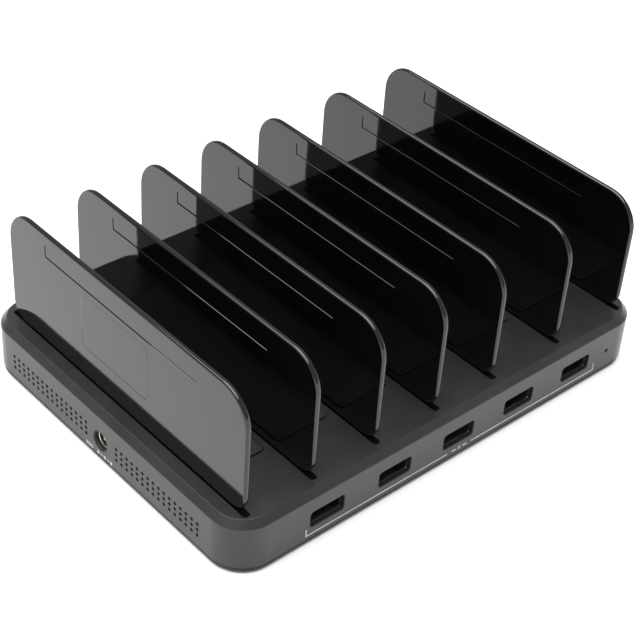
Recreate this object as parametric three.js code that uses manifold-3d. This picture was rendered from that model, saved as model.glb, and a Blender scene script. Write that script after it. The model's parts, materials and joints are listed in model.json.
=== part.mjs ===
// Desktop charging station: a low base with five USB-A outlets along its front,
// and seven push-in dividers that stand devices on edge in six bays.
// Millimetres. X runs along the row of outlets, the outlets face -Y, Z is up.
// The origin is on the table, under the middle of the base.

import * as THREE from 'three';
import { mergeVertices } from 'three/addons/utils/BufferGeometryUtils.js';
import Module from 'manifold-3d';

const wasm = await Module();
wasm.setup();

// Base
const baseWidth = 183;
const baseDepth = 135;
const cornerRadius = 12.5;
const footLift = 0.8;
const coverEdgeTop = 2.1;
const partingGap = 0.3;
const wallTop = 18.6;
const deckTop = 21;
const rimInset = 2.2;
const wall = 2;
const deckThickness = 2.2;
const clearance = 0.3;

// Dividers
const dividerX = [-83.5, -57.4, -31.3, -5.2, 20.9, 52.2, 83.5];
const dividerThickness = 2;
const dividerFront = -62;
const dividerBack = 60.5;
const dividerTop = 64.8;
const dividerCorner = 12;
const dividerHeel = 6;
const slotWidth = 2.6;
const slotOverrun = 0.8;
const slotFloor = 14.6;
const socketWall = 1.4;
const socketFloor = 1.2;
const grooveWidth = 0.5;
const grooveDepth = 0.3;
const grooveReach = 39;
const grooveDrop = 8.5;
const grooveLeg = 4.5;

// Bay pads
const padMargin = 2.8;
const padReach = 43.2;
const padThickness = 0.8;
const padRecess = 0.8;

// USB-A outlets
const outletCount = 5;
const outletPitch = 28.4;
const outletShift = 1.3;
const outletZ = 9.9;
const windowWidth = 13.8;
const windowHeight = 6.1;
const windowRadius = 0.8;
const shellWidth = 13.1;
const shellHeight = 5.7;
const shellLength = 14;
const shellSheet = 0.3;
const shellSetback = 1.4;
const tongueWidth = 11;
const tongueHeight = 1.8;
const tongueSetback = 1.6;
const tongueRise = 0.9;

// DC inlet on the -X end
const jackY = 1.4;
const jackZ = 8.9;
const jackHoleRadius = 4.2;
const jackNoseRadius = 3.9;
const jackBoreRadius = 3.1;
const jackPinRadius = 1.05;
const jackBoreDepth = 9.5;
const jackBody = [12, 9.4, 8.4];

// Vents: two fields on each end wall
const ventColumns = 16;
const ventRows = 3;
const ventPitchY = 2.77;
const ventPitchZ = 2.3;
const ventStarts = [9.3, -48.8];
const ventLowestZ = 7;
const ventRadius = 0.6;

// Status light
const lightX = 74.6;
const lightZ = 9.7;
const lightHoleRadius = 0.7;

// Circuit board and what is on it
const boardSize = [150, 100, 1.6];
const boardTop = 6.75;
const boardY = -15;
const boardScrewX = 70;
const boardScrewY = 40;

// Case screws and feet
const screwX = 73;
const screwY = 50;
const bossRadius = 3;
const pilotRadius = 1.1;
const footX = 74;
const footY = 38;
const footRadius = 5;
const footHeight = 1.2;

const group = new THREE.Group();

function plastic(color, roughness) {
  return new THREE.MeshStandardMaterial({ color, roughness, metalness: 0 });
}

function metal(color, roughness) {
  return new THREE.MeshStandardMaterial({ color, roughness, metalness: 1 });
}

function solid(geometry) {
  const bare = geometry.clone();
  bare.deleteAttribute('normal');
  bare.deleteAttribute('uv');
  const merged = mergeVertices(bare, 1e-5);
  return new wasm.Manifold(new wasm.Mesh({
    numProp: 3,
    vertProperties: new Float32Array(merged.attributes.position.array),
    triVerts: new Uint32Array(merged.index.array),
  }));
}

function add(name, shape, material) {
  const data = shape.getMesh();
  const geometry = new THREE.BufferGeometry();
  geometry.setAttribute('position', new THREE.BufferAttribute(new Float32Array(data.vertProperties), 3));
  geometry.setIndex(new THREE.BufferAttribute(new Uint32Array(data.triVerts), 1));
  geometry.computeVertexNormals();
  const mesh = new THREE.Mesh(geometry, material);
  mesh.name = name;
  group.add(mesh);
}

function block(sizeX, sizeY, sizeZ, x, y, z) {
  return solid(new THREE.BoxGeometry(sizeX, sizeY, sizeZ)).translate([x, y, z]);
}

function slab(sizeX, sizeY, bottom, top, x, y) {
  return block(sizeX, sizeY, top - bottom, x, y, (top + bottom) / 2);
}

function post(radius, bottom, top, x, y, sides = 16) {
  const geometry = new THREE.CylinderGeometry(radius, radius, top - bottom, sides);
  return solid(geometry).rotate([90, 0, 0]).translate([x, y, (top + bottom) / 2]);
}

// A round bar along X
function barX(radius, fromX, toX, y, z, sides = 20) {
  const geometry = new THREE.CylinderGeometry(radius, radius, toX - fromX, sides);
  return solid(geometry).rotate([0, 0, 90]).translate([(fromX + toX) / 2, y, z]);
}

// A round bar along Y
function barY(radius, fromY, toY, x, z, sides = 12) {
  const geometry = new THREE.CylinderGeometry(radius, radius, toY - fromY, sides);
  return solid(geometry).translate([x, (fromY + toY) / 2, z]);
}

function roundedOutline(width, depth, radius) {
  const shape = new THREE.Shape();
  const x = width / 2 - radius;
  const y = depth / 2 - radius;
  shape.absarc(x, -y, radius, -Math.PI / 2, 0);
  shape.absarc(x, y, radius, 0, Math.PI / 2);
  shape.absarc(-x, y, radius, Math.PI / 2, Math.PI);
  shape.absarc(-x, -y, radius, Math.PI, Math.PI * 1.5);
  shape.closePath();
  return shape;
}

function plate(width, depth, radius, bottom, top, steps = 8) {
  const options = { depth: top - bottom, bevelEnabled: false, curveSegments: steps };
  const outline = roundedOutline(width, depth, radius);
  return solid(new THREE.ExtrudeGeometry(outline, options)).translate([0, 0, bottom]);
}

// The outer form: straight walls, then one flat chamfer up to the deck
function baseForm() {
  const walls = plate(baseWidth, baseDepth, cornerRadius, coverEdgeTop + partingGap, wallTop);
  const deckWidth = baseWidth - 2 * rimInset;
  const deckDepth = baseDepth - 2 * rimInset;
  const rim = plate(baseWidth, baseDepth, cornerRadius, wallTop - 0.1, wallTop);
  const deck = plate(deckWidth, deckDepth, cornerRadius - rimInset, deckTop - 0.1, deckTop);
  return walls.add(wasm.Manifold.hull([rim, deck]));
}

const slotLength = dividerBack - dividerFront + 2 * slotOverrun;
const slotMiddle = (dividerBack + dividerFront) / 2;

function outletX(index) {
  return outletShift + (index - (outletCount - 1) / 2) * outletPitch;
}

function window(index) {
  const options = { depth: 2 * wall, bevelEnabled: false, curveSegments: 2 };
  const outline = roundedOutline(windowWidth, windowHeight, windowRadius);
  const cut = solid(new THREE.ExtrudeGeometry(outline, options)).rotate([90, 0, 0]);
  return cut.translate([outletX(index), -baseDepth / 2 + 1.5 * wall, outletZ]);
}

function vents() {
  const holes = [];
  for (const side of [-1, 1]) {
    const x = side * (baseWidth / 2 - wall / 2);
    for (const start of ventStarts) {
      for (let column = 0; column < ventColumns; column += 1) {
        for (let row = 0; row < ventRows; row += 1) {
          const y = start + column * ventPitchY;
          const z = ventLowestZ + row * ventPitchZ;
          holes.push(barX(ventRadius, x - wall, x + wall, y, z, 4));
        }
      }
    }
  }
  return wasm.Manifold.union(holes);
}

function padCentre(index) {
  return (dividerX[index] + dividerX[index + 1]) / 2;
}

function padWidth(index) {
  return dividerX[index + 1] - dividerX[index] - dividerThickness - 2 * padMargin;
}

function topCover() {
  const innerWidth = baseWidth - 2 * wall;
  const innerDepth = baseDepth - 2 * wall;
  let cover = baseForm();
  cover = cover.subtract(plate(innerWidth, innerDepth, cornerRadius - wall, 0, deckTop - deckThickness));
  for (const x of dividerX) {
    const width = slotWidth + 2 * socketWall;
    const length = slotLength + 2 * socketWall;
    cover = cover.add(slab(width, length, slotFloor - socketFloor, deckTop - 1, x, slotMiddle));
  }
  for (const x of [-screwX, screwX]) {
    for (const y of [-screwY, screwY]) {
      cover = cover.add(post(bossRadius, coverEdgeTop + clearance, deckTop - 1, x, y));
      cover = cover.subtract(post(pilotRadius, 0, 12, x, y, 8));
    }
  }
  for (const x of dividerX) {
    cover = cover.subtract(slab(slotWidth, slotLength, slotFloor, deckTop + 1, x, slotMiddle));
  }
  for (let bay = 0; bay < dividerX.length - 1; bay += 1) {
    const width = padWidth(bay) + 2 * clearance;
    const depth = 2 * (padReach + clearance);
    cover = cover.subtract(slab(width, depth, deckTop - padRecess, deckTop + 1, padCentre(bay), 0));
  }
  for (let index = 0; index < outletCount; index += 1) {
    cover = cover.subtract(window(index));
  }
  cover = cover.subtract(barX(jackHoleRadius, -baseWidth / 2 - 1, -baseWidth / 2 + wall + 1, jackY, jackZ));
  cover = cover.subtract(barY(lightHoleRadius, -baseDepth / 2 - 1, -baseDepth / 2 + wall + 1, lightX, lightZ, 8));
  return cover.subtract(vents());
}

function bottomCover() {
  const inset = 0.3;
  const lipOuter = 2 * (wall + clearance);
  const lipInner = lipOuter + 2.4;
  const lipTop = coverEdgeTop + 1.6;
  let cover = plate(baseWidth - 2 * inset, baseDepth - 2 * inset, cornerRadius - inset, footLift, coverEdgeTop);
  const ring = plate(baseWidth - lipOuter, baseDepth - lipOuter, cornerRadius - lipOuter / 2, coverEdgeTop - 0.5, lipTop);
  const hollow = plate(baseWidth - lipInner, baseDepth - lipInner, cornerRadius - lipInner / 2, coverEdgeTop, lipTop + 1);
  cover = cover.add(ring.subtract(hollow));
  for (const x of [-boardScrewX, boardScrewX]) {
    for (const y of [-boardScrewY, boardScrewY]) {
      const standoffTop = boardTop - boardSize[2] - clearance;
      cover = cover.add(post(2.6, coverEdgeTop - 0.5, standoffTop, x, boardY + y, 12));
      cover = cover.subtract(post(pilotRadius, footLift + 0.8, standoffTop + 1, x, boardY + y, 8));
    }
  }
  for (const x of [-screwX, screwX]) {
    for (const y of [-screwY, screwY]) {
      cover = cover.subtract(post(1.6, 0, coverEdgeTop + 1, x, y, 10));
      cover = cover.subtract(post(3, 0, footLift + 0.9, x, y));
    }
  }
  for (const x of [-footX, footX]) {
    for (const y of [-footY, footY]) {
      cover = cover.subtract(post(footRadius + clearance, 0, footHeight + clearance, x, y, 20));
    }
  }
  return cover;
}

// Upright plate in the YZ plane: rounded top corners, smaller heels at the deck,
// and a tongue below that seats in the socket
function dividerOutline() {
  const shape = new THREE.Shape();
  const tongueFront = dividerFront + dividerHeel;
  const tongueBack = dividerBack - dividerHeel;
  const tongueBottom = slotFloor + clearance;
  const heelZ = deckTop + dividerHeel;
  const cornerZ = dividerTop - dividerCorner;
  shape.moveTo(tongueFront, tongueBottom);
  shape.lineTo(tongueBack, tongueBottom);
  shape.lineTo(tongueBack, deckTop);
  shape.absarc(tongueBack, heelZ, dividerHeel, -Math.PI / 2, 0);
  shape.absarc(dividerBack - dividerCorner, cornerZ, dividerCorner, 0, Math.PI / 2);
  shape.absarc(dividerFront + dividerCorner, cornerZ, dividerCorner, Math.PI / 2, Math.PI);
  shape.absarc(tongueFront, heelZ, dividerHeel, Math.PI, Math.PI * 1.5);
  shape.closePath();
  return shape;
}

function divider(x) {
  const options = { depth: dividerThickness, bevelEnabled: false, curveSegments: 8 };
  const flat = solid(new THREE.ExtrudeGeometry(dividerOutline(), options));
  // The outline's X becomes Y, its Y becomes Z, and the extrusion runs along X
  const upright = flat.rotate([90, 0, 90]).translate([x - dividerThickness / 2, 0, 0]);
  const faceX = x - dividerThickness / 2;
  const lineZ = dividerTop - grooveDrop - grooveWidth / 2;
  const line = block(2 * grooveDepth, 2 * grooveReach, grooveWidth, faceX, 0, lineZ);
  const leg = block(2 * grooveDepth, grooveWidth, grooveLeg, faceX, grooveReach, lineZ + grooveLeg / 2);
  return upright.subtract(line.add(leg));
}

function usbShell(index) {
  const mouth = -baseDepth / 2 + shellSetback;
  const middle = mouth + shellLength / 2;
  const outer = block(shellWidth, shellLength, shellHeight, outletX(index), middle, outletZ);
  const innerWidth = shellWidth - 2 * shellSheet;
  const innerHeight = shellHeight - 2 * shellSheet;
  const inner = block(innerWidth, shellLength, innerHeight, outletX(index), middle - shellSheet, outletZ);
  return outer.subtract(inner);
}

function usbTongue(index) {
  const front = -baseDepth / 2 + shellSetback + tongueSetback;
  const back = -baseDepth / 2 + shellSetback + shellLength - shellSheet - clearance;
  const middle = (front + back) / 2;
  return block(tongueWidth, back - front, tongueHeight, outletX(index), middle, outletZ + tongueRise);
}

const jackFace = -baseWidth / 2 + 0.4;
const jackBodyFront = -baseWidth / 2 + wall + clearance;

function jackHousing() {
  const [length, width, height] = jackBody;
  const body = block(length, width, height, jackBodyFront + length / 2, jackY, jackZ);
  const nose = barX(jackNoseRadius, jackFace, jackBodyFront + 1, jackY, jackZ);
  const bore = barX(jackBoreRadius, jackFace - 1, jackFace + jackBoreDepth, jackY, jackZ);
  return body.add(nose).subtract(bore);
}

function jackPin() {
  const tip = jackFace + 1.2;
  return barX(jackPinRadius, tip, jackFace + jackBoreDepth - clearance, jackY, jackZ, 14);
}

function screwShape(headRadius, headHeight, shankRadius, shankLength, sides = 12) {
  const points = [
    [0, 0],
    [headRadius, 0],
    [headRadius, headHeight],
    [shankRadius, headHeight],
    [shankRadius, headHeight + shankLength],
    [0, headHeight + shankLength],
  ].map(([radius, height]) => new THREE.Vector2(radius, height));
  return solid(new THREE.LatheGeometry(points, sides)).rotate([90, 0, 0]);
}

const coverBlack = plastic(0x2b2b2c, 0.55);
const undersideBlack = plastic(0x1d1d1e, 0.65);
const glossBlack = plastic(0x0a0a0b, 0.12);
const padBlack = plastic(0x111112, 0.85);
const footRubber = plastic(0x18181a, 0.9);
const boardGreen = plastic(0x1f4a33, 0.5);
const partBlack = plastic(0x161616, 0.6);
const darkNickel = metal(0x6b6b6c, 0.35);
const brass = metal(0xb08d4a, 0.3);
const steel = metal(0x9a9a9c, 0.4);
const lightWhite = plastic(0xd8dcd8, 0.3);

add('top_cover', topCover(), coverBlack);
add('bottom_cover', bottomCover(), undersideBlack);

dividerX.forEach((x, index) => {
  add(`divider_${index + 1}`, divider(x), glossBlack);
});

for (let bay = 0; bay < dividerX.length - 1; bay += 1) {
  const bottom = deckTop - padRecess + clearance;
  const pad = slab(padWidth(bay), 2 * padReach, bottom, bottom + padThickness, padCentre(bay), 0);
  add(`bay_pad_${bay + 1}`, pad, padBlack);
}

for (let index = 0; index < outletCount; index += 1) {
  add(`usb_shell_${index + 1}`, usbShell(index), darkNickel);
  add(`usb_tongue_${index + 1}`, usbTongue(index), partBlack);
}

add('dc_jack_housing', jackHousing(), partBlack);
add('dc_jack_pin', jackPin(), brass);

// Circuit board: it stops short of the DC inlet, and hangs clear of the case bosses
const [boardWidth, boardDepth, boardThickness] = boardSize;
let board = slab(boardWidth, boardDepth, boardTop - boardThickness, boardTop, 0, boardY);
for (const x of [-screwX, screwX]) {
  board = board.subtract(post(bossRadius + 1, 0, deckTop, x, -screwY));
}
for (const x of [-boardScrewX, boardScrewX]) {
  for (const y of [-boardScrewY, boardScrewY]) {
    board = board.subtract(post(1.6, 0, deckTop, x, boardY + y, 10));
  }
}
add('main_board', board, boardGreen);

const partBottom = boardTop + clearance;
const coilTop = slotFloor - socketFloor - clearance;
[-44, 7].forEach((x, index) => {
  add(`power_coil_${index + 1}`, post(6, partBottom, coilTop, x, 10, 20), partBlack);
});
[-20, 36].forEach((x, index) => {
  const can = barX(3, x - 6, x + 6, 12, partBottom + 3, 16);
  add(`filter_capacitor_${index + 1}`, can, steel);
});
for (let index = 0; index < outletCount; index += 1) {
  const chip = slab(5, 6, partBottom, partBottom + 1.6, outletX(index), -38);
  add(`charge_chip_${index + 1}`, chip, partBlack);
}

const lampFront = -baseDepth / 2 + wall + clearance;
const lampMiddle = lampFront + 6;
add('light_pipe', barY(1.2, lampFront, lampMiddle, lightX, lightZ), lightWhite);
add('status_light', block(2, 2, 2, lightX, lampMiddle + clearance + 1, lightZ), lightWhite);

let count = 0;
for (const x of [-screwX, screwX]) {
  for (const y of [-screwY, screwY]) {
    count += 1;
    const headBottom = footLift + 0.1;
    const screw = screwShape(2.7, 0.5, 0.8, 8).translate([x, y, headBottom]);
    add(`case_screw_${count}`, screw, steel);
  }
}

count = 0;
for (const x of [-boardScrewX, boardScrewX]) {
  for (const y of [-boardScrewY, boardScrewY]) {
    count += 1;
    const screw = screwShape(2.2, 1, 0.8, 4).rotate([180, 0, 0]);
    add(`board_screw_${count}`, screw.translate([x, boardY + y, boardTop + clearance + 1]), steel);
  }
}

count = 0;
for (const x of [-footX, footX]) {
  for (const y of [-footY, footY]) {
    count += 1;
    add(`rubber_foot_${count}`, post(footRadius, 0, footHeight, x, y, 20), footRubber);
  }
}

export default group;
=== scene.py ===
import math

import bmesh
import bpy
from mathutils import Matrix, Vector
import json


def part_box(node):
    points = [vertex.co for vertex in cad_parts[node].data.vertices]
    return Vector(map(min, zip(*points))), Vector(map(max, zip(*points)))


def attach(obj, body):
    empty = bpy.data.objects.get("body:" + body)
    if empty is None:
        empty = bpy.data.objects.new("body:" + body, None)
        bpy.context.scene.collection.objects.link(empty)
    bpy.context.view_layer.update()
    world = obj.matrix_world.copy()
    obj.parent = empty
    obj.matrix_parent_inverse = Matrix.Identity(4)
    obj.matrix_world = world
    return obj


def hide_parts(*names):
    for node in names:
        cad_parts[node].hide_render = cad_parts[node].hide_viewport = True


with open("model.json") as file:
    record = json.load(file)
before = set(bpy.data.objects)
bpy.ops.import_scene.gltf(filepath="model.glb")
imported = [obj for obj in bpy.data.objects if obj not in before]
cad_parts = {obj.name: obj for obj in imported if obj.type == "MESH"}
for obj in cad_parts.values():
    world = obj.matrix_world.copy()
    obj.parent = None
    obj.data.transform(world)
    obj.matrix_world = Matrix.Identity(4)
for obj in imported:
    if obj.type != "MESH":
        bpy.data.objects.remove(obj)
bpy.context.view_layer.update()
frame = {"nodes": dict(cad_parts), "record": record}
mm = 0.001
scene = bpy.context.scene


# small helpers for nodes

def node(tree, kind, x, y, **values):
    made = tree.nodes.new(kind)
    made.location = (x, y)
    for key, value in values.items():
        setattr(made, key, value)
    return made


def link(tree, fromNode, fromSocket, toNode, toSocket):
    tree.links.new(fromNode.outputs[fromSocket], toNode.inputs[toSocket])


def startMaterial(name, settings):
    material = bpy.data.materials.new(name)
    material.use_nodes = True
    tree = material.node_tree
    tree.nodes.clear()
    output = node(tree, "ShaderNodeOutputMaterial", 900, 0)
    shader = node(tree, "ShaderNodeBsdfPrincipled", 600, 0)
    link(tree, shader, "BSDF", output, "Surface")
    coords = node(tree, "ShaderNodeTexCoord", -1100, 0)
    shader.inputs["Metallic"].default_value = settings.get("metallic", 0.0)
    shader.inputs["IOR"].default_value = settings.get("ior", 1.5)
    return material, tree, shader, coords


def noise(tree, coords, x, y, scale, detail=3.0, stretch=(1, 1, 1), roughness=0.5):
    mapping = node(tree, "ShaderNodeMapping", x - 200, y)
    mapping.inputs["Scale"].default_value = stretch
    link(tree, coords, "Object", mapping, "Vector")
    texture = node(tree, "ShaderNodeTexNoise", x, y)
    texture.inputs["Scale"].default_value = scale
    texture.inputs["Detail"].default_value = detail
    texture.inputs["Roughness"].default_value = roughness
    link(tree, mapping, "Vector", texture, "Vector")
    return texture


def spread(tree, source, x, y, low, high, fromLow=0.3, fromHigh=0.7):
    ranged = node(tree, "ShaderNodeMapRange", x, y)
    ranged.inputs["From Min"].default_value = fromLow
    ranged.inputs["From Max"].default_value = fromHigh
    ranged.inputs["To Min"].default_value = low
    ranged.inputs["To Max"].default_value = high
    link(tree, source, 0, ranged, "Value")
    return ranged


def twoTone(tree, source, x, y, dark, light, start=0.3, end=0.7):
    ramp = node(tree, "ShaderNodeValToRGB", x, y)
    ramp.color_ramp.elements[0].position = start
    ramp.color_ramp.elements[0].color = (*dark, 1)
    ramp.color_ramp.elements[1].position = end
    ramp.color_ramp.elements[1].color = (*light, 1)
    link(tree, source, 0, ramp, "Fac")
    return ramp


def bump(tree, source, x, y, strength, distance, below=None):
    made = node(tree, "ShaderNodeBump", x, y)
    made.inputs["Strength"].default_value = strength
    made.inputs["Distance"].default_value = distance
    link(tree, source, 0, made, "Height")
    if below is not None:
        link(tree, below, "Normal", made, "Normal")
    return made


def paint(tree, shader, toneSource, roughSource, dark, light, roughLow, roughHigh):
    # colour from one noise and roughness from one noise
    tone = twoTone(tree, toneSource, -450, 300, dark, light)
    link(tree, tone, "Color", shader, "Base Color")
    rough = spread(tree, roughSource, -450, 0, roughLow, roughHigh)
    link(tree, rough, "Result", shader, "Roughness")


rubbing = {"radius": 0.35 * mm, "samples": 4, "start": 0.995, "full": 0.9}


def edgeLift(tree, colourNode, shader, x, y, wear, amount):
    # rubbed edges: where a rounded normal leaves the true one there is an edge close by
    rounded = node(tree, "ShaderNodeBevel", x - 800, y, samples=rubbing["samples"])
    rounded.inputs["Radius"].default_value = rubbing["radius"]
    geometry = node(tree, "ShaderNodeNewGeometry", x - 800, y - 150)
    agreement = node(tree, "ShaderNodeVectorMath", x - 600, y, operation="DOT_PRODUCT")
    link(tree, rounded, "Normal", agreement, 0)
    link(tree, geometry, "Normal", agreement, 1)
    picked = node(tree, "ShaderNodeMapRange", x - 400, y)
    picked.inputs["From Min"].default_value = rubbing["start"]
    picked.inputs["From Max"].default_value = rubbing["full"]
    picked.inputs["To Max"].default_value = amount
    link(tree, agreement, "Value", picked, "Value")
    mixed = node(tree, "ShaderNodeMix", x, y, data_type="RGBA")
    factor, colourA, colourB, result = 0, 6, 7, 2     # the mix node's sockets for colours, by number
    mixed.inputs[colourB].default_value = (*wear, 1)
    link(tree, picked, "Result", mixed, factor)
    link(tree, colourNode, "Color", mixed, colourA)
    link(tree, mixed, result, shader, "Base Color")


# finishes

coverLook = {
    "dark": (0.014, 0.014, 0.0142), "light": (0.018, 0.018, 0.0182), "worn": (0.03, 0.03, 0.031),
    "wornAmount": 0.35, "cloud": 45, "patch": 90, "roughLow": 0.27, "roughHigh": 0.34, "ior": 1.46,
    "grain": 2400, "grainDepth": 0.04 * mm, "grainStrength": 0.6,
    "swell": 60, "swellDepth": 0.12 * mm, "swellStrength": 0.25,
}


def mouldedCover(name, look):
    # spark-eroded satin plastic: fine pebbling over a slow unevenness
    material, tree, shader, coords = startMaterial(name, look)
    cloud = noise(tree, coords, -700, 300, look["cloud"])
    tone = twoTone(tree, cloud, -450, 300, look["dark"], look["light"])
    edgeLift(tree, tone, shader, 300, 320, look["worn"], look["wornAmount"])
    patch = noise(tree, coords, -700, 0, look["patch"], detail=5)
    rough = spread(tree, patch, -450, 0, look["roughLow"], look["roughHigh"])
    link(tree, rough, "Result", shader, "Roughness")
    pebble = noise(tree, coords, -700, -300, look["grain"], detail=2)
    swell = noise(tree, coords, -700, -600, look["swell"], detail=1)
    low = bump(tree, swell, -200, -600, look["swellStrength"], look["swellDepth"])
    fine = bump(tree, pebble, 0, -400, look["grainStrength"], look["grainDepth"], below=low)
    link(tree, fine, "Normal", shader, "Normal")
    return material


glossLook = {
    "dark": (0.0015, 0.0015, 0.0016), "light": (0.0030, 0.0030, 0.0032), "worn": (0.015, 0.015, 0.015),
    "wornAmount": 0.25, "cloud": 30, "haze": 38, "roughLow": 0.03, "roughHigh": 0.085, "ior": 1.54,
    "ripple": 55, "rippleDepth": 0.25 * mm, "rippleStrength": 0.12,
    "hair": 900, "hairDepth": 0.01 * mm, "hairStrength": 0.05, "hairStretch": (1, 0.05, 1.4),
}


def glossDivider(name, look):
    # polished acrylic-like plate: mirror gloss, faint haze, slow ripple, hair scratches
    material, tree, shader, coords = startMaterial(name, look)
    cloud = noise(tree, coords, -700, 300, look["cloud"])
    tone = twoTone(tree, cloud, -450, 300, look["dark"], look["light"])
    edgeLift(tree, tone, shader, 300, 320, look["worn"], look["wornAmount"])
    haze = noise(tree, coords, -700, 0, look["haze"], detail=6, roughness=0.6)
    rough = spread(tree, haze, -450, 0, look["roughLow"], look["roughHigh"], 0.4, 0.75)
    link(tree, rough, "Result", shader, "Roughness")
    ripple = noise(tree, coords, -700, -300, look["ripple"], detail=1)
    slow = bump(tree, ripple, -200, -300, look["rippleStrength"], look["rippleDepth"])
    hair = noise(tree, coords, -700, -600, look["hair"], detail=2, stretch=look["hairStretch"])
    scratch = bump(tree, hair, 0, -500, look["hairStrength"], look["hairDepth"], below=slow)
    link(tree, scratch, "Normal", shader, "Normal")
    return material


rubberLook = {
    "dark": (0.004, 0.004, 0.004), "light": (0.009, 0.009, 0.009), "roughLow": 0.62, "roughHigh": 0.8,
    "cloud": 70, "grain": 1800, "grainDepth": 0.04 * mm, "grainStrength": 0.4,
}


def softRubber(name, look):
    # dull rubber with fine pimples
    material, tree, shader, coords = startMaterial(name, look)
    cloud = noise(tree, coords, -700, 300, look["cloud"], detail=5)
    paint(tree, shader, cloud, cloud, look["dark"], look["light"], look["roughLow"], look["roughHigh"])
    pimples = node(tree, "ShaderNodeTexVoronoi", -700, -300)
    pimples.inputs["Scale"].default_value = look["grain"]
    link(tree, coords, "Object", pimples, "Vector")
    raised = bump(tree, pimples, 0, -300, look["grainStrength"], look["grainDepth"])
    link(tree, raised, "Normal", shader, "Normal")
    return material


metalLook = {
    "tarnish": 160, "lines": 700, "stretch": (1, 1, 12), "lineDepth": 0.01 * mm, "lineStrength": 0.15,
}


def drawnMetal(name, dark, light, roughLow, roughHigh):
    # plated sheet: directional draw lines and a little tarnish
    material, tree, shader, coords = startMaterial(name, {"metallic": 1.0})
    tarnish = noise(tree, coords, -700, 300, metalLook["tarnish"], detail=5)
    lines = noise(tree, coords, -700, 0, metalLook["lines"], detail=2, stretch=metalLook["stretch"])
    paint(tree, shader, tarnish, lines, dark, light, roughLow, roughHigh)
    drawn = bump(tree, lines, 0, -300, metalLook["lineStrength"], metalLook["lineDepth"])
    link(tree, drawn, "Normal", shader, "Normal")
    return material


mouldingLook = {"cloud": 120, "grain": 900, "grainDepth": 0.02 * mm, "grainStrength": 0.3}


def plainMoulding(name, dark, light, roughLow, roughHigh, grain=mouldingLook["grain"]):
    # small moulded or printed parts: slight cloud and a fine grain
    material, tree, shader, coords = startMaterial(name, {})
    cloud = noise(tree, coords, -700, 300, mouldingLook["cloud"], detail=4)
    paint(tree, shader, cloud, cloud, dark, light, roughLow, roughHigh)
    pebble = noise(tree, coords, -700, -300, grain, detail=2)
    fine = bump(tree, pebble, 0, -300, mouldingLook["grainStrength"], mouldingLook["grainDepth"])
    link(tree, fine, "Normal", shader, "Normal")
    return material


lampLook = {
    "dark": (0.55, 0.57, 0.55), "light": (0.7, 0.72, 0.7), "roughLow": 0.12, "roughHigh": 0.25,
    "ior": 1.49, "clear": 0.5, "cloud": 300, "waveDepth": 0.02 * mm, "waveStrength": 0.1,
}


def lampMoulding(name, look):
    # half-clear moulding of the status light
    material, tree, shader, coords = startMaterial(name, look)
    shader.inputs["Transmission Weight"].default_value = look["clear"]
    cloud = noise(tree, coords, -700, 300, look["cloud"], detail=2)
    paint(tree, shader, cloud, cloud, look["dark"], look["light"], look["roughLow"], look["roughHigh"])
    wave = bump(tree, cloud, 0, -300, look["waveStrength"], look["waveDepth"])
    link(tree, wave, "Normal", shader, "Normal")
    return material


undersideLook = {
    **coverLook, "dark": (0.006, 0.006, 0.006), "light": (0.010, 0.010, 0.010),
    "roughLow": 0.45, "roughHigh": 0.58, "grain": 1600,
}
footLook = {**rubberLook, "light": (0.024, 0.024, 0.024), "grain": 900}

finishes = {
    "cover": mouldedCover("satinCover", coverLook),
    "underside": mouldedCover("satinUnderside", undersideLook),
    "divider": glossDivider("glossDividerBlack", glossLook),
    "film": glossDivider("clearFilmOverBlack", {**glossLook, "roughLow": 0.06, "roughHigh": 0.13}),
    "pad": softRubber("padRubber", rubberLook),
    "foot": softRubber("footRubber", footLook),
    "nickel": drawnMetal("darkNickel", (0.16, 0.16, 0.165), (0.26, 0.26, 0.26), 0.28, 0.42),
    "gold": drawnMetal("goldFlash", (0.62, 0.42, 0.14), (0.75, 0.53, 0.2), 0.2, 0.32),
    "brass": drawnMetal("platedBrass", (0.46, 0.44, 0.36), (0.66, 0.63, 0.54), 0.18, 0.32),
    "steel": drawnMetal("blackZincSteel", (0.07, 0.07, 0.072), (0.13, 0.13, 0.13), 0.3, 0.45),
    "insulator": plainMoulding("blackInsulator", (0.01, 0.01, 0.01), (0.018, 0.018, 0.018), 0.4, 0.55),
    "board": plainMoulding("solderMask", (0.008, 0.045, 0.022), (0.012, 0.07, 0.032), 0.3, 0.45, 400),
    "lamp": lampMoulding("clearMoulding", lampLook),
    "print": plainMoulding("whitePrint", (0.38, 0.38, 0.38), (0.50, 0.50, 0.50), 0.45, 0.6, 2400),
}
print("finishes ready:", len(finishes))


# building blocks

def roundedLoop(width, depth, radius, steps=8):
    # rounded rectangle, anticlockwise from the lower right corner
    points = []
    corners = ((1, -1, -90), (1, 1, 0), (-1, 1, 90), (-1, -1, 180))
    for signU, signV, start in corners:
        for step in range(steps + 1):
            angle = math.radians(start + 90 * step / steps)
            u = signU * (width / 2 - radius) + radius * math.cos(angle)
            v = signV * (depth / 2 - radius) + radius * math.sin(angle)
            points.append((u, v))
    return points


def roundLoop(radius, steps=32):
    turns = [2 * math.pi * step / steps for step in range(steps)]
    return [(radius * math.cos(turn), radius * math.sin(turn)) for turn in turns]


def softProfile(corners, steps=4):
    # corners are (inset, height, radius); a radius above zero becomes a fillet between its neighbours
    points = []
    for index, (inset, height, radius) in enumerate(corners):
        if not radius:
            points.append((inset, height))
            continue
        here = Vector((inset, height))
        before = (Vector(corners[index - 1][:2]) - here).normalized()
        after = (Vector(corners[index + 1][:2]) - here).normalized()
        opening = before.angle(after) / 2
        centre = here + (before + after).normalized() * radius / math.sin(opening)
        start = here + before * radius / math.tan(opening) - centre
        end = here + after * radius / math.tan(opening) - centre
        for step in range(steps + 1):
            point = centre + start.normalized().slerp(end.normalized(), step / steps) * radius
            points.append((point.x, point.y))
    return points


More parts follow.
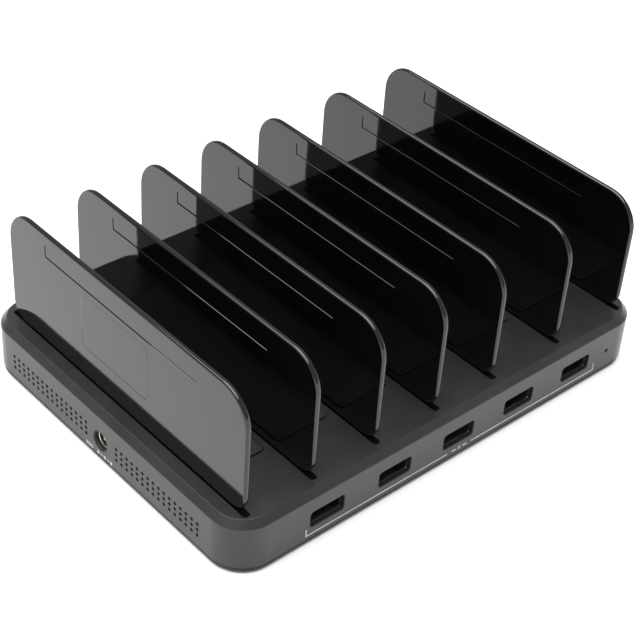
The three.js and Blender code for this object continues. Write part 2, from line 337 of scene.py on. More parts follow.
def quarterRound(radius, steps):
    # rounded edge as (inset, rise) pairs, from the full inset at no rise to no inset at full rise
    turns = [math.radians(90 * step / steps) for step in range(steps + 1)]
    return [(radius * (1 - math.sin(turn)), radius * (1 - math.cos(turn))) for turn in turns]


def facing(direction, place=(0, 0, 0)):
    # turns a stack that grows along +Z so that it grows along the given direction
    turns = {
        "up": Matrix.Identity(4),
        "down": Matrix.Rotation(math.pi, 4, "X"),
        "front": Matrix.Rotation(math.pi / 2, 4, "X"),
        "left": Matrix(((0, 0, -1, 0), (-1, 0, 0, 0), (0, 1, 0, 0), (0, 0, 0, 1))),
    }
    return Matrix.Translation(Vector(place)) @ turns[direction]


def stackMesh(loops, turn=None):
    # loops is a list of (points, height); neighbours are joined by quads and both ends are capped
    mesh = bmesh.new()
    rings = []
    for points, height in loops:
        rings.append([mesh.verts.new((u, v, height)) for u, v in points])
    for lower, upper in zip(rings, rings[1:]):
        for index, vertex in enumerate(lower):
            after = (index + 1) % len(lower)
            mesh.faces.new((vertex, lower[after], upper[after], upper[index]))
    mesh.faces.new(list(reversed(rings[0])))
    mesh.faces.new(rings[-1])
    bmesh.ops.recalc_face_normals(mesh, faces=mesh.faces)
    if turn is not None:
        mesh.transform(turn)
    return mesh


def joinMeshes(meshes):
    whole = bmesh.new()
    for part in meshes:
        data = bpy.data.meshes.new("part")
        part.to_mesh(data)
        whole.from_mesh(data)
        bpy.data.meshes.remove(data)
        part.free()
    return whole


def makeObject(name, mesh, finish=None):
    data = bpy.data.meshes.new(name)
    mesh.to_mesh(data)
    mesh.free()
    made = bpy.data.objects.new(name, data)
    scene.collection.objects.link(made)
    if finish:
        data.materials.append(finishes[finish])
    return made


def evaluated(thing):
    # the object's mesh with its modifiers worked in, and no modifier left on it
    bpy.context.view_layer.update()
    graph = bpy.context.evaluated_depsgraph_get()
    mesh = bpy.data.meshes.new_from_object(thing.evaluated_get(graph))
    thing.modifiers.clear()
    thing.data = mesh
    return thing


def combine(thing, other, operation):
    modifier = thing.modifiers.new("combine", "BOOLEAN")
    modifier.operation = operation
    modifier.solver = "EXACT"
    modifier.object = other
    evaluated(thing)
    bpy.data.objects.remove(other)
    return thing


def smoothFaces(thing, angle=32):
    # edges sharper than the angle stay crisp
    mesh = thing.data
    mesh.polygons.foreach_set("use_smooth", [True] * len(mesh.polygons))
    mesh.set_sharp_from_angle(angle=math.radians(angle))
    weighted = thing.modifiers.new("weighted", "WEIGHTED_NORMAL")
    weighted.keep_sharp = True
    weighted.weight = 100
    return evaluated(thing)


def finishPiece(thing, body, replaced):
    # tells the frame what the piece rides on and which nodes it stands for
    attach(thing, body)
    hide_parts(*replaced)
    return thing


def gridTree():
    # Geometry Nodes: repeats the object's own mesh over a grid of columns and rows
    tree = bpy.data.node_groups.new("repeatOverGrid", "GeometryNodeTree")
    face = tree.interface
    face.new_socket("Geometry", in_out="INPUT", socket_type="NodeSocketGeometry")
    face.new_socket("Columns", in_out="INPUT", socket_type="NodeSocketInt")
    face.new_socket("Rows", in_out="INPUT", socket_type="NodeSocketInt")
    face.new_socket("First Place", in_out="INPUT", socket_type="NodeSocketVector")
    face.new_socket("Column Step", in_out="INPUT", socket_type="NodeSocketVector")
    face.new_socket("Row Step", in_out="INPUT", socket_type="NodeSocketVector")
    face.new_socket("Finish", in_out="INPUT", socket_type="NodeSocketMaterial")
    face.new_socket("Geometry", in_out="OUTPUT", socket_type="NodeSocketGeometry")
    start = node(tree, "NodeGroupInput", -900, 0)
    end = node(tree, "NodeGroupOutput", 900, 0)
    columns = node(tree, "GeometryNodeMeshLine", -600, 250, mode="OFFSET")
    rows = node(tree, "GeometryNodeMeshLine", -600, -50, mode="OFFSET")
    link(tree, start, "Columns", columns, "Count")
    link(tree, start, "First Place", columns, "Start Location")
    link(tree, start, "Column Step", columns, "Offset")
    link(tree, start, "Rows", rows, "Count")
    link(tree, start, "Row Step", rows, "Offset")
    gridPoints = node(tree, "GeometryNodeInstanceOnPoints", -300, 200)
    link(tree, columns, "Mesh", gridPoints, "Points")
    link(tree, rows, "Mesh", gridPoints, "Instance")
    places = node(tree, "GeometryNodeRealizeInstances", -80, 200)
    link(tree, gridPoints, "Instances", places, "Geometry")
    copies = node(tree, "GeometryNodeInstanceOnPoints", 150, 100)
    link(tree, places, "Geometry", copies, "Points")
    link(tree, start, "Geometry", copies, "Instance")
    solid = node(tree, "GeometryNodeRealizeInstances", 400, 100)
    link(tree, copies, "Instances", solid, "Geometry")
    coloured = node(tree, "GeometryNodeSetMaterial", 640, 100)
    link(tree, solid, "Geometry", coloured, "Geometry")
    link(tree, start, "Finish", coloured, "Material")
    link(tree, coloured, "Geometry", end, "Geometry")
    return tree


repeatTree = gridTree()


def repeatPiece(thing, columns, rows, first, columnStep, rowStep, finish):
    modifier = thing.modifiers.new("repeat", "NODES")
    modifier.node_group = repeatTree
    values = {
        "Columns": columns, "Rows": rows, "First Place": first,
        "Column Step": columnStep, "Row Step": rowStep, "Finish": finishes[finish],
    }
    for socket in repeatTree.interface.items_tree:
        if socket.in_out == "INPUT" and socket.name in values:
            modifier[socket.identifier] = values[socket.name]
    return evaluated(thing)


# places read from the frame

coverLow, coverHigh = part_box("top_cover")
trayLow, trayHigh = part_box("bottom_cover")
outletNames = ["usb_shell_1", "usb_shell_2", "usb_shell_3", "usb_shell_4", "usb_shell_5"]
tongueNames = [name.replace("shell", "tongue") for name in outletNames]
dividerNames = [f"divider_{number}" for number in range(1, 8)]
padNames = [f"bay_pad_{number}" for number in range(1, 7)]


def middle(name):
    low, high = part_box(name)
    return (low + high) / 2


def extent(name):
    low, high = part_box(name)
    return high - low


# top cover

cover = {
    "skin": 0.05 * mm,          # the wall stands this far inside the frame's wall, so the print can lie on it
    "cornerRadius": 12.5 * mm, "cornerSteps": 14, "footRound": 0.3 * mm,
    "wall": 2.0 * mm, "deckThickness": 2.2 * mm, "deckRing": 2 * mm,
    "rimHeight": 2.4 * mm, "rimInset": 2.2 * mm,
    "shoulderRound": 0.8 * mm, "deckEdgeRound": 0.2 * mm,
    "slotWidth": 2.45 * mm, "slotEdge": 0.1 * mm, "slotCorner": 0.9 * mm, "slotOverrun": 0.8 * mm,
    "socketWall": 1.4 * mm, "socketFloor": 1.2 * mm, "socketCorner": 0.6 * mm, "socketSink": 1.0 * mm,
    "tongueGap": 0.3 * mm,
    "padGap": 0.3 * mm, "padRecess": 0.8 * mm, "padCorner": 1.6 * mm,
    "windowGrow": (0.7 * mm, 0.4 * mm), "windowRadius": 1.1 * mm, "windowDepth": 3.2 * mm,
    "edgeBreak": 0.22 * mm, "cutterOverlap": 0.06 * mm, "cutterReach": 1.0 * mm, "holeDepth": 3.0 * mm,
    "ventColumns": 16, "ventRows": 3, "ventSides": 10,
    "ventStep": 2.77 * mm, "ventRise": 2.3 * mm, "ventLow": 7.0 * mm,
    "ventStarts": (9.3 * mm, -48.8 * mm),
    "ventRadius": 0.62 * mm, "ventFlare": 1.25, "ventFlareDepth": 0.12 * mm, "ventReach": 0.4 * mm,
    "jackHole": 3.62 * mm,
    "pinhole": 0.7 * mm,
}


def coverLoop(inset, height):
    width = coverHigh.x - coverLow.x - 2 * inset
    depth = coverHigh.y - coverLow.y - 2 * inset
    radius = cover["cornerRadius"] - inset
    return roundedLoop(width, depth, radius, cover["cornerSteps"]), height


def coverShell():
    base = coverLow.z
    deck = coverHigh.z
    skin = cover["skin"]
    inner = cover["wall"]
    corners = [
        (inner, deck - cover["deckThickness"], 0), (inner, base, 0),
        (skin, base, cover["footRound"]), (skin, deck - cover["rimHeight"], cover["shoulderRound"]),
        (cover["rimInset"], deck, cover["deckEdgeRound"]), (cover["rimInset"] + cover["deckRing"], deck, 0),
    ]
    loops = [coverLoop(inset, height) for inset, height in softProfile(corners, 5)]
    return makeObject("topCover", stackMesh(loops), "cover")


def mouthCutter(narrow, wide, turn, inward, grow):
    # a straight cutter whose mouth opens a little, so the cut edge is broken
    overlap = cover["cutterOverlap"]
    loops = [(narrow, -inward), (narrow, -grow), (wide, overlap), (wide, cover["cutterReach"])]
    return stackMesh(loops, turn)


def flaredCutter(width, depth, radius, turn, inward, grow=cover["edgeBreak"]):
    past = grow + cover["cutterOverlap"]
    narrow = roundedLoop(width, depth, radius, 5)
    wide = roundedLoop(width + 2 * past, depth + 2 * past, radius + past, 5)
    return mouthCutter(narrow, wide, turn, inward, grow)


def roundCutter(radius, turn, inward, steps=32):
    grow = cover["edgeBreak"]
    past = grow + cover["cutterOverlap"]
    return mouthCutter(roundLoop(radius, steps), roundLoop(radius + past, steps), turn, inward, grow)


def dividerPlace(name):
    low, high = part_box(name)
    return (low.x + high.x) / 2, (low.y + high.y) / 2, high.y - low.y, low.z


def addSockets(shell):
    blocks = []
    for name in dividerNames:
        x, y, length, foot = dividerPlace(name)
        width = cover["slotWidth"] + 2 * cover["socketWall"]
        reach = length + 2 * cover["slotOverrun"] + 2 * cover["socketWall"]
        bottom = foot - cover["tongueGap"] - cover["socketFloor"]
        outline = roundedLoop(width, reach, cover["socketCorner"], 3)
        loops = [(outline, bottom), (outline, coverHigh.z - cover["socketSink"])]
        blocks.append(stackMesh(loops, facing("up", (x, y, 0))))
    return combine(shell, makeObject("sockets", joinMeshes(blocks)), "UNION")


def cutDeck(shell):
    cutters = []
    for name in dividerNames:
        x, y, length, foot = dividerPlace(name)
        reach = length + 2 * cover["slotOverrun"]
        inward = coverHigh.z - foot + cover["tongueGap"]
        turn = facing("up", (x, y, coverHigh.z))
        corner = cover["slotCorner"]
        cutters.append(flaredCutter(cover["slotWidth"], reach, corner, turn, inward, cover["slotEdge"]))
    for name in padNames:
        size = extent(name)
        place = middle(name)
        turn = facing("up", (place.x, place.y, coverHigh.z))
        width = size.x + 2 * cover["padGap"]
        depth = size.y + 2 * cover["padGap"]
        cutters.append(flaredCutter(width, depth, cover["padCorner"], turn, cover["padRecess"]))
    return combine(shell, makeObject("deckCuts", joinMeshes(cutters)), "DIFFERENCE")


def cutWalls(shell):
    cutters = []
    growX, growZ = cover["windowGrow"]
    wallY = coverLow.y + cover["skin"]
    for name in outletNames:
        size = extent(name)
        place = middle(name)
        turn = facing("front", (place.x, wallY, place.z))
        width = size.x + growX
        height = size.z + growZ
        cutters.append(flaredCutter(width, height, cover["windowRadius"], turn, cover["windowDepth"]))
    lamp = middle("light_pipe")
    turn = facing("front", (lamp.x, wallY, lamp.z))
    cutters.append(roundCutter(cover["pinhole"], turn, cover["holeDepth"], steps=20))
    jack = middle("dc_jack_pin")
    turn = facing("left", (coverLow.x + cover["skin"], jack.y, jack.z))
    cutters.append(roundCutter(cover["jackHole"], turn, cover["holeDepth"], steps=48))
    return combine(shell, makeObject("wallCuts", joinMeshes(cutters)), "DIFFERENCE")


def cutVents(shell):
    # one perforation, repeated by Geometry Nodes into each of the four fields
    narrow = roundLoop(cover["ventRadius"], cover["ventSides"])
    wide = roundLoop(cover["ventRadius"] * cover["ventFlare"], cover["ventSides"])
    loops = [(narrow, -cover["holeDepth"]), (narrow, -cover["ventFlareDepth"]),
             (wide, 0.0), (wide, cover["ventReach"])]
    columnStep = (0, cover["ventStep"], 0)
    rowStep = (0, 0, cover["ventRise"])
    for side in (-1, 1):
        wallX = side * (coverHigh.x - cover["skin"])
        for start in cover["ventStarts"]:
            turn = facing("left")
            if side > 0:
                turn = Matrix.Rotation(math.pi, 4, "Z") @ turn
            field = makeObject("ventField", stackMesh(loops, turn))
            first = (wallX, start, cover["ventLow"])
            repeatPiece(field, cover["ventColumns"], cover["ventRows"], first, columnStep, rowStep, "cover")
            combine(shell, field, "DIFFERENCE")
    return shell


topCover = coverShell()
addSockets(topCover)
cutDeck(topCover)
cutWalls(topCover)
cutVents(topCover)
smoothFaces(topCover)
finishPiece(topCover, "base", ["top_cover"])
print("top cover:", len(topCover.data.polygons), "faces")


# bottom cover

tray = {
    "cornerRadius": 12.2 * mm, "edgeRound": 0.5 * mm, "plate": 1.3 * mm, "plateEdge": 0.12 * mm,
    "lipGap": 2.3 * mm, "lipWall": 1.2 * mm, "lipEdge": 0.2 * mm,
    "labelSize": (70 * mm, 44 * mm), "labelCorner": 3 * mm, "labelDepth": 0.25 * mm,
    "screwSeat": 3.0 * mm, "screwDepth": 0.9 * mm, "footSeat": 5.3 * mm, "footDepth": 0.7 * mm,
}


def trayLoop(inset, height):
    width = trayHigh.x - trayLow.x - 2 * inset
    depth = trayHigh.y - trayLow.y - 2 * inset
    return roundedLoop(width, depth, tray["cornerRadius"] - inset, cover["cornerSteps"]), height


def bottomTray():
    # the profile runs from the underside's edge, up the side and over the locating lip
    low = trayLow.z
    plateTop = low + tray["plate"]
    lipTop = trayHigh.z
    profile = [(inset, low + rise) for inset, rise in quarterRound(tray["edgeRound"], 4)]
    outer = tray["lipGap"]
    inner = outer + tray["lipWall"]
    edge, lipEdge = tray["plateEdge"], tray["lipEdge"]
    profile += [(0.0, plateTop - edge), (edge, plateTop), (outer, plateTop), (outer, lipTop - lipEdge)]
    profile += [(outer + lipEdge, lipTop), (inner, lipTop), (inner, plateTop)]
    loops = [trayLoop(inset, height) for inset, height in profile]
    return makeObject("bottomCover", stackMesh(loops), "underside")


def cutTray(body):
    cutters = []
    for number in range(1, 5):
        screw = middle(f"case_screw_{number}")
        foot = middle(f"rubber_foot_{number}")
        turn = facing("down", (screw.x, screw.y, trayLow.z))
        cutters.append(roundCutter(tray["screwSeat"], turn, tray["screwDepth"]))
        turn = facing("down", (foot.x, foot.y, trayLow.z))
        cutters.append(roundCutter(tray["footSeat"], turn, tray["footDepth"], steps=48))
    width, depth = tray["labelSize"]
    turn = facing("down", (0, 0, trayLow.z))
    cutters.append(flaredCutter(width, depth, tray["labelCorner"], turn, tray["labelDepth"]))
    return combine(body, makeObject("trayCuts", joinMeshes(cutters)), "DIFFERENCE")


bottomCover = bottomTray()
cutTray(bottomCover)
smoothFaces(bottomCover)
finishPiece(bottomCover, "base", ["bottom_cover"])
print("bottom cover:", len(bottomCover.data.polygons), "faces")


# dividers

divider = {
    "corner": 12 * mm, "heel": 6 * mm, "edgeRound": 0.85 * mm, "edgeSteps": 6,
    "tongueInset": 6 * mm, "tongueThickness": 1.7 * mm, "tongueCorner": 0.5 * mm, "tongueBury": 1.5 * mm,
    "grooveWidth": 0.5 * mm, "grooveDepth": 0.33 * mm, "grooveDrop": 8.7 * mm, "lipSlope": 0.51,
    "grooveReach": 39 * mm, "grooveLeg": 4.5 * mm,
}


def plateLoop(low, high, deck, inset, steps=12):
    # outline in the YZ plane: rounded top corners, smaller heels at the deck
    points = []
    corner = divider["corner"]
    heel = divider["heel"]
    centres = (
        (high.y - heel, deck + heel, heel, -90), (high.y - corner, high.z - corner, corner, 0),
        (low.y + corner, high.z - corner, corner, 90), (low.y + heel, deck + heel, heel, 180),
    )
    for y, z, radius, start in centres:
        for step in range(steps + 1):
            angle = math.radians(start + 90 * step / steps)
            points.append((y + (radius - inset) * math.cos(angle), z + (radius - inset) * math.sin(angle)))
    return points


def upright(x):
    # stack plane (u, v, w) becomes (Y, Z, X)
    return Matrix(((0, 0, 1, x), (1, 0, 0, 0), (0, 1, 0, 0), (0, 0, 0, 1)))


def plateMesh(low, high, deck):
    half = (high.x - low.x) / 2
    edge = [(inset, half - rise) for inset, rise in quarterRound(divider["edgeRound"], divider["edgeSteps"])]
    profile = [(inset, -height) for inset, height in edge]
    profile += [(inset, height) for inset, height in reversed(edge)]
    loops = [(plateLoop(low, high, deck, inset), height) for inset, height in profile]
    return stackMesh(loops, upright((high.x + low.x) / 2))


def tongueMesh(low, high, deck):
    length = high.y - low.y - 2 * divider["tongueInset"]
    outline = roundedLoop(divider["tongueThickness"], length, divider["tongueCorner"], 3)
    loops = [(outline, 0.0), (outline, deck + divider["tongueBury"] - low.z)]
    return stackMesh(loops, facing("up", ((high.x + low.x) / 2, (low.y + high.y) / 2, low.z)))


def grooveMesh(low, high):
    width = divider["grooveWidth"]
    depth = divider["grooveDepth"]
    left = -divider["grooveReach"]
    right = divider["grooveReach"]
    line = high.z - divider["grooveDrop"]
    legTop = line + divider["grooveLeg"]
    loops = []
    for height in (-depth, depth):     # the lower lip slopes out to the face
        lip = line - (depth - height) * divider["lipSlope"]
        outline = [(left, lip), (right + width, lip), (right + width, legTop), (right, legTop),
                   (right, line + width), (left, line + width)]
        loops.append((outline, height))
    return stackMesh(loops, upright(low.x))


def makeDivider(name):
    low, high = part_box(name)
    deck = coverHigh.z
    piece = makeObject(name + "Plate", plateMesh(low, high, deck), "divider")
    combine(piece, makeObject("tongue", tongueMesh(low, high, deck)), "UNION")
    combine(piece, makeObject("groove", grooveMesh(low, high)), "DIFFERENCE")
    smoothFaces(piece)
    return finishPiece(piece, name + "_body", [name])


dividers = [makeDivider(name) for name in dividerNames]

film = {
    "reach": (-15 * mm, 20 * mm), "rise": (32.8 * mm, 53.8 * mm), "corner": 2.2 * mm,
    "edge": 0.3 * mm, "thickness": 0.05 * mm, "bury": 0.02 * mm, "keepSharp": 4,
}


def makeFilm():
    # blank protective film on the outer face of the first divider
    low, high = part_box(dividerNames[0])
    width = film["reach"][1] - film["reach"][0]
    depth = film["rise"][1] - film["rise"][0]
    centre = (sum(film["reach"]) / 2, sum(film["rise"]) / 2)
    loops = []
    for inset, height in ((0, film["bury"]), (0, 0), (film["edge"], -film["thickness"])):
        points = roundedLoop(width - 2 * inset, depth - 2 * inset, film["corner"] - inset, 6)
        loops.append(([(u + centre[0], v + centre[1]) for u, v in points], height))
    return makeObject("dividerFilm", stackMesh(loops, upright(low.x)), "film")


dividerFilm = smoothFaces(makeFilm(), film["keepSharp"])
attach(dividerFilm, dividerNames[0] + "_body")
print("dividers:", len(dividers))


# bay pads

pads = {
    "corner": 1.4 * mm, "edgeRound": 0.25 * mm, "border": 1.1 * mm,
    "dish": 0.12 * mm, "dishSlope": 0.165 * mm, "dishCorner": 0.9 * mm,
}


def makePads():
    edge = pads["edgeRound"]
    border = pads["border"]
    corner = pads["corner"]
    dishCorner = pads["dishCorner"]
    # inset, drop below the top and corner radius of each ring above the sides
    rings = (
        (0, edge, corner), (0.3 * edge, 0.3 * edge, corner), (edge, 0, corner - edge),
        (border, 0, dishCorner), (border + pads["dishSlope"], pads["dish"], dishCorner - 0.1 * mm),
    )
    sheets = []
    for name in padNames:
        low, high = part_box(name)
        size = high - low
        loops = [(roundedLoop(size.x, size.y, corner, 6), low.z)]
        for inset, drop, radius in rings:
            loops.append((roundedLoop(size.x - 2 * inset, size.y - 2 * inset, radius, 6), high.z - drop))
        sheets.append(stackMesh(loops, facing("up", ((low.x + high.x) / 2, (low.y + high.y) / 2, 0))))
    return makeObject("bayPads", joinMeshes(sheets), "pad")


bayPads = smoothFaces(makePads())
finishPiece(bayPads, "base", padNames)
print("bay pads ready")


# USB-A outlets

outlet = {
    "sheet": 0.3 * mm, "corner": 0.55 * mm, "mouthOut": 0.15 * mm, "mouthIn": 0.35 * mm,
    "tongueCorner": 0.3 * mm,
    "tipNarrow": 0.8 * mm, "tipThin": 0.7 * mm, "tipCorner": 0.2 * mm, "tipLength": 0.6 * mm,
    "contactSize": (1.0 * mm, 7.0 * mm), "contactCorner": 0.4 * mm, "contactSpan": (-0.12 * mm, 0.05 * mm),
    "contactCount": 4, "contactPitch": 2.0 * mm, "contactSetBack": 4.6 * mm,
}


def makeShells():
    shells = []
    sheet = outlet["sheet"]
    radius = outlet["corner"]
    for name in outletNames:
        low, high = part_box(name)
        size = high - low
        place = (low + high) / 2
        outerLoop = roundedLoop(size.x, size.z, radius, 4)
        innerLoop = roundedLoop(size.x - 2 * sheet, size.z - 2 * sheet, radius - 0.2 * mm, 4)
        lipLoop = roundedLoop(size.x - sheet, size.z - sheet, radius - 0.1 * mm, 4)
        loops = [(outerLoop, -size.y), (outerLoop, -outlet["mouthOut"]), (lipLoop, 0.0),
                 (innerLoop, -outlet["mouthIn"]), (innerLoop, -size.y + sheet)]
        shells.append(stackMesh(loops, facing("front", (place.x, low.y, place.z))))
    return makeObject("usbShells", joinMeshes(shells), "nickel")


def makeTongues():
    tongues = []
    for name in tongueNames:
        low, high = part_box(name)
        size = high - low
        place = (low + high) / 2
        full = roundedLoop(size.x, size.z, outlet["tongueCorner"], 3)
        tip = roundedLoop(size.x - outlet["tipNarrow"], size.z - outlet["tipThin"], outlet["tipCorner"], 3)
        loops = [(full, -size.y), (full, -outlet["tipLength"]), (tip, 0.0)]
        tongues.append(stackMesh(loops, facing("front", (place.x, low.y, place.z))))
    return makeObject("usbTongues", joinMeshes(tongues), "insulator")


def makeContacts():
    # four flat springs under each tongue: one spring repeated across a tongue, then over the tongues
    low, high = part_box(tongueNames[0])
    width, length = outlet["contactSize"]
    outline = roundedLoop(width, length, outlet["contactCorner"], 3)
    spring = stackMesh([(outline, height) for height in outlet["contactSpan"]])
    strip = makeObject("usbContacts", spring, "gold")
    count, pitch, still = outlet["contactCount"], outlet["contactPitch"], (0, 0, 0)
    repeatPiece(strip, count, 1, (-(count - 1) / 2 * pitch, 0, 0), (pitch, 0, 0), still, "gold")
    outletStep = middle(tongueNames[1]).x - middle(tongueNames[0]).x
    first = ((low.x + high.x) / 2, low.y + outlet["contactSetBack"], low.z)
    repeatPiece(strip, len(tongueNames), 1, first, (outletStep, 0, 0), still, "gold")
    return strip


usbShells = smoothFaces(makeShells())
finishPiece(usbShells, "base", outletNames)
usbTongues = smoothFaces(makeTongues())
finishPiece(usbTongues, "base", tongueNames)
usbContacts = smoothFaces(makeContacts())
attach(usbContacts, "base")
print("outlets ready")


# DC inlet

inlet = {
    "noseRadius": 3.5 * mm, "noseLength": 1.9 * mm, "noseEdge": 0.1 * mm, "blockCorner": 0.6 * mm,
    "boreRadius": 3.15 * mm, "boreDepth": 9.5 * mm, "sinkRadius": 3.25 * mm, "sinkDepth": 0.2 * mm,
    "cutterOverlap": 0.05 * mm, "cutterReach": 1 * mm,
    "sleeve": 0.22 * mm, "sleeveGap": 0.05 * mm, "sleeveEdge": 0.15 * mm,
    "sleeveSpan": (-7.5 * mm, -1.3 * mm),
    "pinTipTurn": 80, "sides": 48, "pinSides": 28,
}


def makeInletBody():
    low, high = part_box("dc_jack_housing")
    pin = middle("dc_jack_pin")
    depth = high.x - low.x
    sides = inlet["sides"]
    square = roundedLoop(high.y - low.y, high.z - low.z, inlet["blockCorner"], 4)
    block = [(square, -depth), (square, -inlet["noseLength"])]
    outer = roundLoop(inlet["noseRadius"], sides)
    tip = roundLoop(inlet["noseRadius"] - inlet["noseEdge"], sides)
    nose = [(outer, -depth + 1 * mm), (outer, -inlet["noseEdge"]), (tip, 0.0)]
    bore = roundLoop(inlet["boreRadius"], sides)
    sink = roundLoop(inlet["sinkRadius"], sides)
    cut = [(bore, -inlet["boreDepth"]), (bore, -inlet["sinkDepth"]),
           (sink, inlet["cutterOverlap"]), (sink, inlet["cutterReach"])]
    turn = facing("left", (low.x, pin.y, pin.z))
    body = makeObject("dcInlet", stackMesh(block, turn), "insulator")
    combine(body, makeObject("nose", stackMesh(nose, turn)), "UNION")
    combine(body, makeObject("bore", stackMesh(cut, turn)), "DIFFERENCE")
    return body


def makeSleeve():
    # thin plated contact sleeve just inside the bore
    low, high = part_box("dc_jack_housing")
    pin = middle("dc_jack_pin")
    outerRadius = inlet["boreRadius"] - inlet["sleeveGap"]
    outer = roundLoop(outerRadius, inlet["sides"])
    inner = roundLoop(outerRadius - inlet["sleeve"], inlet["sides"])
    back, front = inlet["sleeveSpan"]
    loops = [(outer, back), (outer, front), (inner, front - inlet["sleeveEdge"]), (inner, back + 0.1 * mm)]
    return makeObject("dcSleeve", stackMesh(loops, facing("left", (low.x, pin.y, pin.z))), "brass")


def makePin():
    low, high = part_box("dc_jack_pin")
    radius = (high.z - low.z) / 2
    place = (low + high) / 2
    sides = inlet["pinSides"]
    loops = [(roundLoop(radius, sides), low.x - high.x), (roundLoop(radius, sides), -radius)]
    for step in range(1, 6):
        angle = math.radians(inlet["pinTipTurn"] * step / 5)
        loops.append((roundLoop(radius * math.cos(angle), sides), -radius + radius * math.sin(angle)))
    return makeObject("dcPin", stackMesh(loops, facing("left", (low.x, place.y, place.z))), "brass")


dcInlet = smoothFaces(makeInletBody())
finishPiece(dcInlet, "base", ["dc_jack_housing"])
dcSleeve = smoothFaces(makeSleeve())
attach(dcSleeve, "base")
dcPin = smoothFaces(makePin())
finishPiece(dcPin, "base", ["dc_jack_pin"])
print("DC inlet ready")


# printed marks

marks = {
    "line": 0.4 * mm, "proud": 0.04 * mm, "baseZ": 4.0 * mm, "tickTop": 7.0 * mm,
    "left": -64.2 * mm, "right": 68.6 * mm, "gap": (-3.2 * mm, 7.8 * mm),
    "bolt": ((0.5, 1.0), (-0.75, -0.12), (-0.1, -0.12), (-0.5, -1.0), (0.75, 0.16), (0.1, 0.16)),
    "dash": (1.6 * mm, 3.4 * mm), "dashHalf": 0.3 * mm,
    "inletZ": 2.9 * mm, "currentLeft": -9.4 * mm, "currentLength": 3.8 * mm, "currentLine": 0.4 * mm,
    "currentLift": 0.75 * mm, "shortDash": 1.0 * mm, "shortStep": 1.4 * mm,
    "dots": (-2.6 * mm, 0.9 * mm, 4.4 * mm), "dotRadius": 0.62 * mm, "dotLift": 0.6 * mm,
    "links": ((-1.5 * mm, -0.2 * mm), (2.0 * mm, 3.3 * mm)), "linkHalf": 0.18 * mm,
}


def bar(left, low, right, high):
    width = right - left
    depth = high - low
    outline = roundedLoop(width, depth, min(width, depth) * 0.35, 3)
    return [(u + (left + right) / 2, v + (low + high) / 2) for u, v in outline]


def printObject(name, outlines, turn):
    # thin raised ink, rooted a little below the wall's surface
    inks = [stackMesh([(points, -0.1 * mm), (points, marks["proud"])], turn) for points in outlines]
    return makeObject(name, joinMeshes(inks), "print")


def makeOutletPrint():
    turn = facing("front", (0, coverLow.y + cover["skin"], 0))
    low, line, tick = marks["baseZ"], marks["line"], marks["tickTop"]
    left, right = marks["left"], marks["right"]
    gapLeft, gapRight = marks["gap"]
    high = low + line
    innerLeft, innerRight = left + line, right - line
    strips = [
        [(left, low), (gapLeft, low), (gapLeft, high), (innerLeft, high), (innerLeft, tick), (left, tick)],
        [(gapRight, low), (right, low), (right, tick), (innerRight, tick), (innerRight, high),
         (gapRight, high)],
    ]
    # generic charge sign: a small bolt between two dashes
    x = (gapLeft + gapRight) / 2
    z = low + line / 2
    near, far = marks["dash"]
    half = marks["dashHalf"]
    strips.append([(x + u * mm, z + v * mm) for u, v in marks["bolt"]])
    strips.append(bar(x - far, z - half, x - near, z + half))
    strips.append(bar(x + near, z - half, x + far, z + half))
    return printObject("outletPrint", strips, turn)


def makeInletPrint():
    # generic direct-current and polarity signs under the inlet
    turn = facing("left", (coverLow.x + cover["skin"], 0, 0))
    low, line = marks["inletZ"], marks["currentLine"]
    left, lift = marks["currentLeft"], marks["currentLift"]
    strips = [bar(left, low + lift, left + marks["currentLength"], low + lift + line)]
    for index in range(3):
        start = left + index * marks["shortStep"]
        strips.append(bar(start, low, start + marks["shortDash"], low + line))
    middleZ = low + marks["dotLift"]
    for centre in marks["dots"]:
        strips.append([(centre + u, middleZ + v) for u, v in roundLoop(marks["dotRadius"], 20)])
    for start, end in marks["links"]:
        strips.append(bar(start, middleZ - marks["linkHalf"], end, middleZ + marks["linkHalf"]))
    return printObject("inletPrint", strips, turn)


for marking in (makeOutletPrint(), makeInletPrint()):
    smoothFaces(marking)
    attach(marking, "base")
print("marks ready")


# feet and case screws

foot = {
    "ribs": (4.2 * mm, 3.0 * mm), "ribDepth": 0.2 * mm, "ribSlope": 0.1 * mm, "ribWidth": 0.5 * mm,
    "shoulder": ((0.0, 0.35 * mm), (0.12 * mm, 0.1 * mm), (0.4 * mm, 0.0)), "sides": 40,
}
screw = {
    "shank": 0.8 * mm, "headBack": 0.5 * mm, "recess": 0.35 * mm, "arm": 1.5 * mm, "armWidth": 0.55 * mm,
    "armCorner": 0.15 * mm, "sides": 32,
}


def overCorners(made, first, opposite, low, finish):
    # the same piece at all four corners of the case
    place = middle(first)
    other = middle(opposite)
    start = (place.x, place.y, low)
    return repeatPiece(made, 2, 2, start, (other.x - place.x, 0, 0), (0, other.y - place.y, 0), finish)


def makeFeet():
    # round foot with softened edge and ring grooves
    low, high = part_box("rubber_foot_1")
    radius = (high.x - low.x) / 2
    slope, width = foot["ribSlope"], foot["ribWidth"]
    rings = [(radius, low.z - high.z)] + [(radius - inset, -drop) for inset, drop in foot["shoulder"]]
    for rib in foot["ribs"]:
        rings += [(rib, 0.0), (rib - slope, -foot["ribDepth"]), (rib - width, -foot["ribDepth"]),
                  (rib - width - slope, 0.0)]
    loops = [(roundLoop(ring, foot["sides"]), height) for ring, height in rings]
    made = makeObject("rubberFeet", stackMesh(loops, facing("down")), "foot")
    return overCorners(made, "rubber_foot_1", "rubber_foot_4", low.z, "foot")


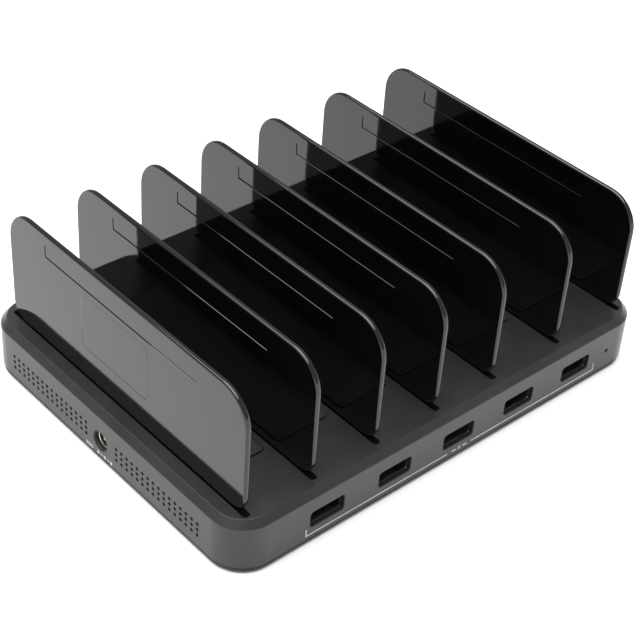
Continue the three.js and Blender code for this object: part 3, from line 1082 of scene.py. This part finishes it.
def makeScrews():
    # domed head on a thin shank, with a cross recess
    low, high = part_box("case_screw_1")
    radius = (high.x - low.x) / 2
    shank, back = screw["shank"], screw["headBack"]
    rings = ((shank, low.z - high.z), (shank, -back), (radius, 0.02 * mm - back), (radius, -0.2 * mm),
             (radius * 0.86, -0.05 * mm), (radius * 0.6, 0.0))
    loops = [(roundLoop(ring, screw["sides"]), height) for ring, height in rings]
    made = makeObject("caseScrews", stackMesh(loops, facing("down")), "steel")
    long, wide = 2 * screw["arm"], screw["armWidth"]
    for u, v in ((long, wide), (wide, long)):
        points = roundedLoop(u, v, screw["armCorner"], 3)
        cutter = stackMesh([(points, -screw["recess"]), (points, 0.3 * mm)], facing("down"))
        combine(made, makeObject("crossRecess", cutter), "DIFFERENCE")
    return overCorners(made, "case_screw_1", "case_screw_4", low.z, "steel")


rubberFeet = smoothFaces(makeFeet())
finishPiece(rubberFeet, "base", [f"rubber_foot_{number}" for number in range(1, 5)])
caseScrews = smoothFaces(makeScrews())
finishPiece(caseScrews, "base", [f"case_screw_{number}" for number in range(1, 5)])
print("feet and screws ready")


# finishes on the frame's own pieces inside the case

for entry in frame["record"]["subparts"]:
    carried = frame["nodes"][entry["node"]]
    for place in carried.material_slots:
        place.material = finishes[entry["material_slot"]]


# studio

studio = {
    "cameraPlace": (-0.3052, -0.3187, 0.3560), "azimuth": -43.74, "elevation": 37.61, "roll": 4.23,
    "lens": 90.54, "roomLight": 0.6,
    "overheadFrom": (-0.2, 0.08, 1.0), "overheadSpread": 70, "overheadPower": 5.2,
    "floorReach": 15, "floorDrop": 0.03 * mm,
    "floorDark": (0.82, 0.82, 0.815), "floorLight": (0.8364, 0.8364, 0.8313),
}


def makeFloor():
    mesh = bmesh.new()
    bmesh.ops.create_grid(mesh, x_segments=2, y_segments=2, size=studio["floorReach"],
                          matrix=Matrix.Translation((0, 0, -studio["floorDrop"])))
    material, tree, shader, coords = startMaterial("paleFloor", {})
    cloud = noise(tree, coords, -700, 300, 3)
    paint(tree, shader, cloud, cloud, studio["floorDark"], studio["floorLight"], 0.8, 0.9)
    finishes["floor"] = material
    floor = makeObject("floor", mesh, "floor")


def makeWorld():
    world = bpy.data.worlds.new("studioWorld")
    world.use_nodes = True
    background = world.node_tree.nodes["Background"]
    background.inputs["Color"].default_value = (1, 1, 1, 1)
    background.inputs["Strength"].default_value = studio["roomLight"]
    scene.world = world


def makeOverhead():
    # one very broad overhead light, even over the whole floor
    data = bpy.data.lights.new("overheadLight", "SUN")
    data.angle = math.radians(studio["overheadSpread"])
    data.energy = studio["overheadPower"]
    lamp = bpy.data.objects.new("overheadLight", data)
    scene.collection.objects.link(lamp)
    lamp.rotation_euler = Vector(studio["overheadFrom"]).to_track_quat("Z", "Y").to_euler()


def makeCamera():
    data = bpy.data.cameras.new("camera")
    data.lens = studio["lens"]
    data.sensor_width = 36
    data.clip_start = 0.01
    camera = bpy.data.objects.new("camera", data)
    scene.collection.objects.link(camera)
    turn = Matrix.Rotation(math.radians(studio["azimuth"]), 4, "Z")
    tilt = Matrix.Rotation(math.radians(90 - studio["elevation"]), 4, "X")
    roll = Matrix.Rotation(math.radians(studio["roll"]), 4, "Z")
    camera.matrix_world = Matrix.Translation(studio["cameraPlace"]) @ turn @ tilt @ roll
    scene.camera = camera


makeFloor()
makeWorld()
makeOverhead()
makeCamera()
scene.view_settings.view_transform = "Standard"
print("studio ready")
